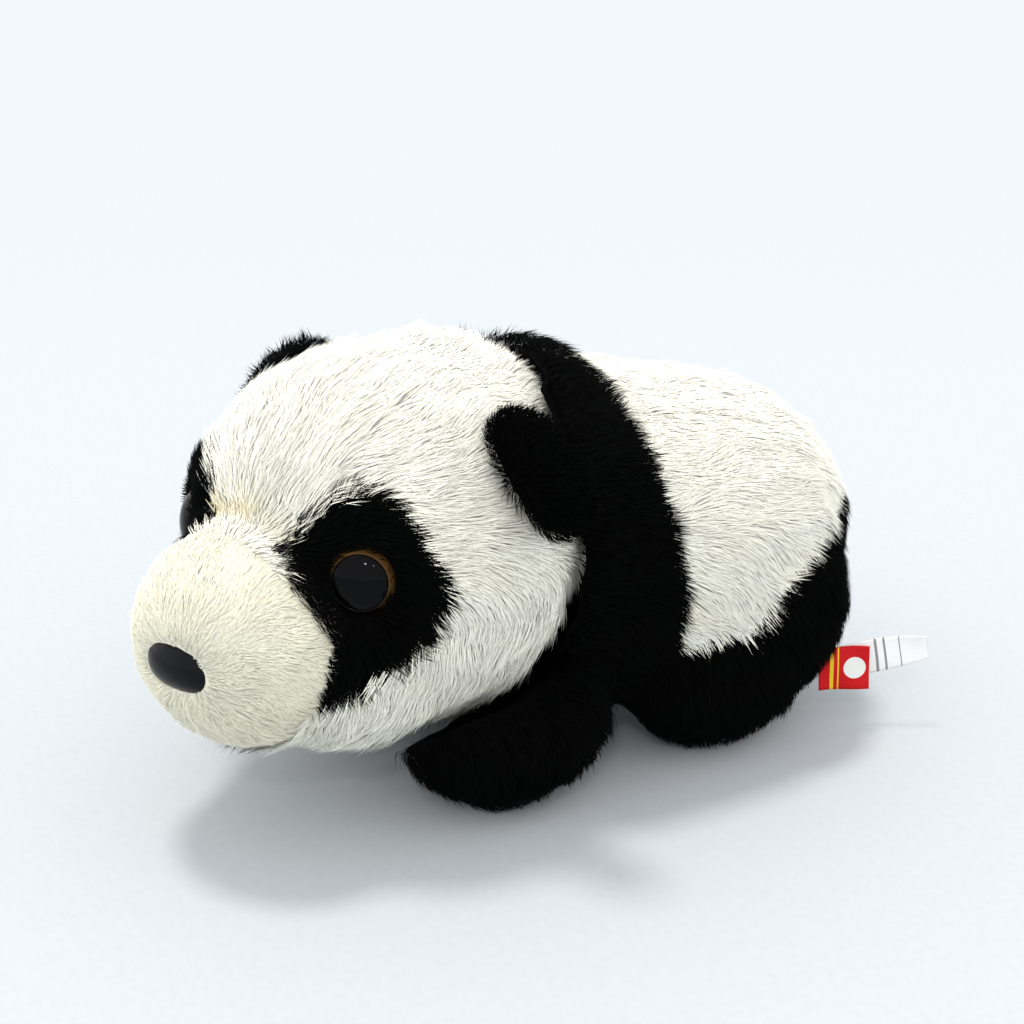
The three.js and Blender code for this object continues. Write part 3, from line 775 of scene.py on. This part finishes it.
FILLING_ROOM = 1.3 * MM      # a filling stays this far inside the sewn skin


def filling(name, node, voxel, shrink, skin):
    """A padded filling inside a CAD stuffing's space and the sewn skin, with the soft lumps of fibre."""
    made = remeshed(name, [node], voxel, 3)
    co, normals = coordinates(made.data), vertex_normals(made.data)
    lumps = 0.4 * MM * waves(co, 15 * MM, 5)
    co = co - normals * (shrink + 0.4 * MM + lumps)[:, None]
    if skin is not None:
        tree = BVHTree.FromPolygons(coordinates(skin.data).tolist(), triangles_of(skin.data).tolist())
        for i, p in enumerate(co):
            near, out, _, _ = tree.find_nearest(p)
            depth = (near - Vector(p)).dot(out)
            if depth < FILLING_ROOM:
                co[i] = np.array(Vector(p) + out * (depth - FILLING_ROOM))
    set_coordinates(made.data, spread(co, edge_array(made.data), 1))
    made.data.materials.append(FIBREFILL)
    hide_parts(node)
    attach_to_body(made, nodes[node]["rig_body"])


TORSO_MIDDLE = np.array([0.0, 24.0, 60.0]) * MM
head_surface = Surface(list(HEAD_PANELS) + ["head_stuffing"])
torso_surface = Surface(list(BODY_PANELS) + ["torso_stuffing"])


def torso_hidden(points, normals):
    """1 in the hollow that the head sits in, 0 on the outside of the body."""
    apart = head_surface.nearest(points)[1]
    facing = dots(normals, unit(points - HEAD_CENTRE))[:, 0]
    return (1 - ramp(facing, -0.55, -0.1)) * (1 - ramp(apart, 9 * MM, 16 * MM))


def head_hidden(points, normals):
    """1 on the back of the head, inside the shoulders' hollow, 0 on the open side."""
    apart = torso_surface.nearest(points)[1]
    facing = dots(normals, unit(points - TORSO_MIDDLE))[:, 0]
    return (1 - ramp(facing, -0.55, -0.1)) * (1 - ramp(apart, 3 * MM, 8 * MM))


def never_hidden(points, normals):
    return np.zeros(len(points))


def seam_lift(points):
    """The head's pile stands up more just before the shoulders, so that it closes the gap."""
    return 0.10 * (1 - ramp(torso_surface.nearest(points)[1], 4 * MM, 14 * MM))


def lip_share(points):
    """1 on the rim of the body's hollow, beside the head, and 0 further away."""
    return 1 - ramp(head_surface.nearest(points)[1], 5 * MM, 15 * MM)


def lip_lift(points):
    """The body's pile stands up along the rim of its hollow, so that it laps against the head."""
    return 0.42 * lip_share(points)


clear = [(EYES[name], EYE_RADIUS * 0.92, EYE_RADIUS * 0.92) for name in SIDES]
clear.append((NOSE, NOSE_HALF_WIDTH * 0.9, NOSE_HALF_HEIGHT * 0.88))
body_skin = furred(
    "body_skin", BODY_PANELS, BODY_FILLINGS, voxel=3 * MM, hidden=torso_hidden, cap=2.5 * MM,
    flow=body_flow, seed=BODY_SEED, lift_of=lip_lift)
head_skin = furred(
    "head_skin", HEAD_PANELS, HEAD_FILLINGS, voxel=2.6 * MM, hidden=head_hidden, cap=2.0 * MM,
    flow=head_flow, seed=HEAD_SEED, clear_of=clear, lift_of=seam_lift)

filling("torso_filling", "torso_stuffing", voxel=3.5 * MM, shrink=1.2 * MM, skin=body_skin)
filling("head_filling", "head_stuffing", voxel=3.5 * MM, shrink=1.2 * MM, skin=head_skin)
filling("muzzle_filling", "muzzle_stuffing", voxel=2.5 * MM, shrink=0.8 * MM, skin=head_skin)
filling("neck_filling", "neck_stuffing", voxel=3 * MM, shrink=0.6 * MM, skin=None)
for name, node in LEG_FILLINGS.items():
    filling(name, node, voxel=3 * MM, shrink=1.2 * MM, skin=body_skin)
for skin in (body_skin, head_skin):
    bpy.data.objects.remove(skin)


# ---------------------------------------------------------------- ears and tail
def ear_flow_for(name):
    point, normal = on_head(*EAR_SEATS[name])
    base = from_head(point * 0.93) + HEAD_CENTRE

    def flow(panel, place, normals):
        return flattened(unit(place - base) + np.array([0.0, 0.15, -0.05]), normals)
    return flow


for number, name in enumerate(SIDES):
    ear_panels = {f"ear_front_{name}": EAR, f"ear_back_{name}": EAR}
    bpy.data.objects.remove(furred(
        f"ear_skin_{name}", ear_panels, [], voxel=1.6 * MM, hidden=never_hidden, cap=1.0 * MM,
        flow=ear_flow_for(name), seed=EAR_SEED + 100 * number))


def tail_flow(panel, place, normals):
    return flattened(np.tile([0.0, 0.6, -0.8], (len(place), 1)), normals)


bpy.data.objects.remove(furred(
    "tail_skin", {"tail_cover": TAIL}, [], voxel=2 * MM, hidden=never_hidden, cap=1.0 * MM,
    flow=tail_flow, seed=TAIL_SEED))


# ---------------------------------------------------------------- eyes and nose
def lathe(name, frame_of, profile, segments, across=1.0, up=1.0, power=2.0):
    """A closed form round a frame's z axis. profile: (radius, z) from its back to its front."""
    points, faces = [], []
    rings = profile[1:-1]
    for radius, height in rings:
        for k in range(segments):
            a = 2 * math.pi * k / segments
            c, s = math.cos(a), math.sin(a)
            grow_by = (abs(c) ** power + abs(s) ** power) ** (-1 / power)
            points.append((radius * across * c * grow_by, radius * up * s * grow_by, height))
    for ring in range(len(rings) - 1):
        for k in range(segments):
            a, b = ring * segments + k, ring * segments + (k + 1) % segments
            faces.append((a, b, b + segments, a + segments))
    points.append((0, 0, profile[0][1]))
    points.append((0, 0, profile[-1][1]))
    back, front = len(points) - 2, len(points) - 1
    last = (len(rings) - 1) * segments
    for k in range(segments):
        faces.append((back, (k + 1) % segments, k))
        faces.append((front, last + k, last + (k + 1) % segments))
    local = np.array(points)
    return mesh_object(name, local @ frame_of[:3, :3].T + frame_of[:3, 3], faces)


def dome_profile(radius, height, low, high, steps):
    """(radius, z) along a dome from angle low to high, in degrees above its rim."""
    made = []
    for k in range(steps + 1):
        a = math.radians(low + (high - low) * k / steps)
        made.append((radius * math.cos(a), height * math.sin(a)))
    return made


def plastic(name, colours, roughness, specular, scale, bump, along=None):
    """Moulded plastic. Its colour changes with a slow noise, or with the u of the UV layer `along`."""
    made, tree, shader = new_material(name)
    vector = object_vector(tree)
    if along is None:
        change = noise_node(tree, vector, scale)
    else:
        _, split = uv_nodes(tree, along)
        change = split.outputs["X"]
    colour = ramp_node(tree, change, [(0.3, colours[0]), (0.7, colours[1])])
    tree.links.new(colour, shader.inputs["Base Color"])
    rough = tree.nodes.new("ShaderNodeMapRange")
    rough.inputs["To Min"].default_value = roughness * 0.8
    rough.inputs["To Max"].default_value = roughness * 1.25
    tree.links.new(noise_node(tree, vector, scale * 6), rough.inputs["Value"])
    tree.links.new(rough.outputs["Result"], shader.inputs["Roughness"])
    shader.inputs["Specular IOR Level"].default_value = specular
    bumped(tree, shader, noise_node(tree, vector, scale * 20), bump, 0.05 * MM)
    return made


def paint_rim_light_layer(lens, frame_of, side):
    """A UV layer whose u is 1 at the upper outer rim and 0 opposite. The ring's colour follows it as painted
    light at the top and outer side, and as painted shade opposite.
    """
    local = (coordinates(lens.data) - frame_of[:3, 3]) @ frame_of[:3, :3] / EYE_RADIUS
    glow = 0.5 + 0.5 * (0.85 * local[:, 1] + 0.5 * side * local[:, 0])
    layer = lens.data.uv_layers.new(name="glow")
    for loop in lens.data.loops:
        layer.uv[loop.index].vector = (glow[loop.vertex_index], 0.5)


PUPIL = plastic(
    "pupil_gloss", ((0.0006, 0.0006, 0.0009), (0.001, 0.001, 0.0014)),
    roughness=0.05, specular=0.08, scale=150, bump=0.02)
# The ring's colour is painted light and shade: brown at its upper outer rim, where light would enter, and
# near black opposite.
AMBER = plastic(
    "amber_gloss", ((0.003, 0.0015, 0.0008), (0.070, 0.034, 0.008)),
    roughness=0.08, specular=0.1, scale=220, bump=0.02, along="glow")
NOSE_PLASTIC = plastic(
    "nose_satin", ((0.002, 0.0022, 0.003), (0.0035, 0.004, 0.005)),
    roughness=0.25, specular=0.12, scale=160, bump=0.15)
WASHER_PLASTIC = plastic(
    "washer_plastic", ((0.72, 0.72, 0.70), (0.80, 0.80, 0.78)),
    roughness=0.45, specular=0.5, scale=200, bump=0.2)

for name in SIDES:
    inner = math.degrees(math.acos(PUPIL_RADIUS / EYE_RADIUS))
    iris = dome_profile(EYE_RADIUS, EYE_HEIGHT, 0, inner, 10)
    back = [(0, -STEM_LENGTH), (STEM_RADIUS * 0.7, -STEM_LENGTH), (STEM_RADIUS, -STEM_LENGTH + 0.6 * MM),
            (STEM_RADIUS, -1.6 * MM), (STEM_RADIUS * 1.4, -1.1 * MM), (EYE_RADIUS * 0.93, -1.0 * MM),
            (EYE_RADIUS, -0.4 * MM)]
    seat = iris[-1][1]
    groove = [(PUPIL_RADIUS + 0.05 * MM, seat - 0.25 * MM), (PUPIL_RADIUS * 0.5, seat - 1.0 * MM),
              (0, seat - 1.0 * MM)]
    lens = lathe(f"eye_iris_{name}", EYES[name], back + iris + groove, 64)
    paint_rim_light_layer(lens, EYES[name], SIDES[name])
    lens.data.materials.append(AMBER)
    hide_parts(f"eye_lens_{name}")
    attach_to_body(lens, "head")
    cap = dome_profile(EYE_RADIUS, EYE_HEIGHT, inner, 90, 14)
    cap[-1] = (0, EYE_HEIGHT)
    under = [(0, seat - 0.9 * MM), (PUPIL_RADIUS * 0.9, seat - 0.9 * MM),
             (PUPIL_RADIUS * 0.985, seat - 0.3 * MM)]
    pupil = lathe(f"eye_pupil_dome_{name}", EYES[name], under + cap, 64)
    pupil.data.materials.append(PUPIL)
    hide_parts(f"eye_pupil_{name}")
    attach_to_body(pupil, "head")

# The nose's profile has radius 1 at its rim, and its half width and half height stretch it.
nose_dome = dome_profile(1.0, NOSE_HEIGHT, 0, 90, 16)
nose_dome[-1] = (0, NOSE_HEIGHT)
nose_back = [(0, -STEM_LENGTH), (0.2, -STEM_LENGTH), (0.2, -1.8 * MM), (0.85, -1.6 * MM), (0.98, -0.8 * MM)]
nose = lathe("nose_button", NOSE, nose_back + nose_dome, 72,
             across=NOSE_HALF_WIDTH, up=NOSE_HALF_HEIGHT, power=NOSE_SQUARENESS)
nose.data.materials.append(NOSE_PLASTIC)
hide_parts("nose")
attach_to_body(nose, "head")
for node in ("nose_washer", "eye_washer_left", "eye_washer_right"):
    nodes[node].data.materials.clear()
    nodes[node].data.materials.append(WASHER_PLASTIC)


# ---------------------------------------------------------------- labels
BAND_SPAN = 4.0      # the ramp of a label's bands covers this many label heights
LABEL_THICKNESS, LABEL_RIPPLE = 0.25 * MM, 0.35 * MM


def satin(name, ground, bands, dot=None):
    """Woven satin with plain bands. bands: (start, end, colour) along it in label heights; dot: a disc."""
    made, tree, shader = new_material(name)
    uv, split = uv_nodes(tree, "label")
    stops = [(0.0, ground)]
    for start, end, band in bands:
        stops += [(start / BAND_SPAN, band), (end / BAND_SPAN, ground)]
    share = tree.nodes.new("ShaderNodeMath")
    share.operation = "DIVIDE"
    tree.links.new(split.outputs["X"], share.inputs[0])
    share.inputs[1].default_value = BAND_SPAN
    colour = ramp_node(tree, share.outputs["Value"], stops, steps="CONSTANT")
    if dot is not None:
        apart = tree.nodes.new("ShaderNodeVectorMath")
        apart.operation = "DISTANCE"
        tree.links.new(uv.outputs["UV"], apart.inputs[0])
        apart.inputs[1].default_value = (*dot["centre"], 0)
        inside = tree.nodes.new("ShaderNodeMath")
        inside.operation = "LESS_THAN"
        tree.links.new(apart.outputs["Value"], inside.inputs[0])
        inside.inputs[1].default_value = dot["radius"]
        mixed = tree.nodes.new("ShaderNodeMix")
        mixed.data_type = "RGBA"
        tree.links.new(inside.outputs["Value"], mixed.inputs["Factor"])
        tree.links.new(colour, mixed.inputs["A"])
        mixed.inputs["B"].default_value = (*dot["colour"], 1)
        colour = mixed.outputs["Result"]
    wave = tree.nodes.new("ShaderNodeTexWave")
    wave.inputs["Scale"].default_value = 110
    wave.inputs["Distortion"].default_value = 0.4
    wave.bands_direction = "Y"
    tree.links.new(uv.outputs["UV"], wave.inputs["Vector"])
    shade = ramp_node(tree, wave.outputs["Fac"], [(0.0, (0.86, 0.86, 0.86)), (1.0, (1, 1, 1))])
    tree.links.new(multiplied(tree, colour, shade), shader.inputs["Base Color"])
    shader.inputs["Roughness"].default_value = 0.5
    shader.inputs["Specular IOR Level"].default_value = 0.2
    bumped(tree, shader, wave.outputs["Fac"], 0.25, 0.1 * MM)
    return made


def label(name, node, material, slot, length, height, heading, rise, lift, curl, taper):
    """A woven label on its sewn end, with a soft curl, as a sheet of cloth. taper narrows its free end."""
    across, along = 12, 30
    points, faces, uv = [], [], []
    for i in range(along + 1):
        for j in range(across + 1):
            s, t = i / along, j / across
            x = s * length
            y = lift + curl * math.sin(s * 2.6) * (0.7 + 0.5 * t) + LABEL_RIPPLE * math.sin(6 * s + 4 * t)
            points.append((x, y, (t - 0.5) * height * (1 - taper * s**3)))
            uv.append((s * length / height, t))
    for i in range(along):
        for j in range(across):
            a = i * (across + 1) + j
            faces.append((a, a + across + 1, a + across + 2, a + 1))
    turn = Matrix.Rotation(math.radians(heading), 3, "Z") @ Matrix.Rotation(math.radians(-rise), 3, "Y")
    world = np.array(points) @ np.array(turn).T + LABEL_ROOT
    made = mesh_object(name, world, faces)
    layer = made.data.uv_layers.new(name="label")
    for loop in made.data.loops:
        layer.uv[loop.index].vector = uv[loop.vertex_index]
    modified(made, "SOLIDIFY", thickness=LABEL_THICKNESS, offset=0)
    made.data.materials.append(material)
    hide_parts(node)
    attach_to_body(made, "labels")


RED, GOLD = (0.62, 0.003, 0.006), (0.86, 0.60, 0.02)
WHITE, GREY = (0.88, 0.88, 0.87), (0.25, 0.27, 0.27)
RED_SATIN = satin("red_satin", RED, [(0.22, 0.30, GOLD), (0.38, 0.42, GOLD)],
                  dot=dict(centre=(0.76, 0.5), radius=0.24, colour=(0.86, 0.86, 0.82)))
WHITE_SATIN = satin("white_satin", WHITE, [(1.62, 1.69, GREY), (1.86, 1.93, GREY), (2.3, 2.33, GREY)])
label("red_label_cloth", "red_label", RED_SATIN, "red_satin", length=15 * MM, height=14 * MM,
      heading=58, rise=3, lift=0, curl=0.5 * MM, taper=0)
label("care_label_cloth", "care_label", WHITE_SATIN, "white_satin", length=34 * MM, height=11 * MM,
      heading=64, rise=9, lift=1 * MM, curl=1.6 * MM, taper=0.35)

# ---------------------------------------------------------------- floor, light and camera
FLOOR_HALF = 15.0
corners = [(x * FLOOR_HALF, y * FLOOR_HALF, 0.0) for x, y in ((-1, -1), (1, -1), (1, 1), (-1, 1))]
floor = mesh_object("studio_floor", corners, [(0, 1, 2, 3)])
paper, tree, shader = new_material("studio_paper")
grain = noise_node(tree, object_vector(tree), 400)
paper_colour = ramp_node(tree, grain, [(0.3, (0.460, 0.486, 0.502)), (0.7, (0.480, 0.506, 0.522))])
tree.links.new(paper_colour, shader.inputs["Base Color"])
shader.inputs["Roughness"].default_value = 0.7
shader.inputs["Specular IOR Level"].default_value = 0
bumped(tree, shader, grain, 0.1, 0.2 * MM)
floor.data.materials.append(paper)


def softbox(name, place, size, power):
    """A round lamp that faces the panda and shows as a glint in its eyes."""
    data = bpy.data.lights.new(name, "AREA")
    data.shape = "DISK"
    data.size = size
    data.energy = power
    lamp = bpy.data.objects.new(name, data)
    bpy.context.scene.collection.objects.link(lamp)
    lamp.location = place
    lamp.rotation_mode = "QUATERNION"
    lamp.rotation_quaternion = (GLINT_TARGET - Vector(place)).to_track_quat("-Z", "Y")


KEY_FROM = Vector((-0.24, -0.06, 1.0))
KEY_STRENGTH, KEY_SPREAD, WORLD_STRENGTH = 1.7, 11, 1.41
GLINT_TARGET = Vector((0, 0, 0.08))

sun = bpy.data.lights.new("key", "SUN")
sun.energy = KEY_STRENGTH
sun.angle = math.radians(KEY_SPREAD)
sun.color = (1.0, 0.985, 0.955)
key = bpy.data.objects.new("key", sun)
bpy.context.scene.collection.objects.link(key)
key.rotation_mode = "QUATERNION"
key.rotation_quaternion = (-KEY_FROM).to_track_quat("-Z", "Y")
softbox("glint", (0.75, -0.55, 0.75), size=0.07, power=1.3)
softbox("small_glint", (0.95, -0.25, 0.7), size=0.035, power=0.3)
world = bpy.data.worlds.new("studio")
bpy.context.scene.world = world
world.use_nodes = True
background = world.node_tree.nodes["Background"]
background.inputs["Color"].default_value = (0.965, 0.975, 1.0, 1)
background.inputs["Strength"].default_value = WORLD_STRENGTH
bpy.context.scene.view_settings.view_transform = "Standard"

CAMERA_AZIMUTH, CAMERA_ELEVATION, CAMERA_DISTANCE = 59.4, 20.2, 0.4554
CAMERA_LENS, CAMERA_SENSOR = 54.08, 36
camera_target = Vector((-0.0085, 0.0025, 0.065))
back = Vector(direction(CAMERA_AZIMUTH, CAMERA_ELEVATION))
data = bpy.data.cameras.new("camera")
data.sensor_width = CAMERA_SENSOR
data.lens = CAMERA_LENS
camera = bpy.data.objects.new("camera", data)
bpy.context.scene.collection.objects.link(camera)
camera.location = camera_target + back * CAMERA_DISTANCE
camera.rotation_mode = "QUATERNION"
camera.rotation_quaternion = (-back).to_track_quat("-Z", "Y")
bpy.context.scene.camera = camera
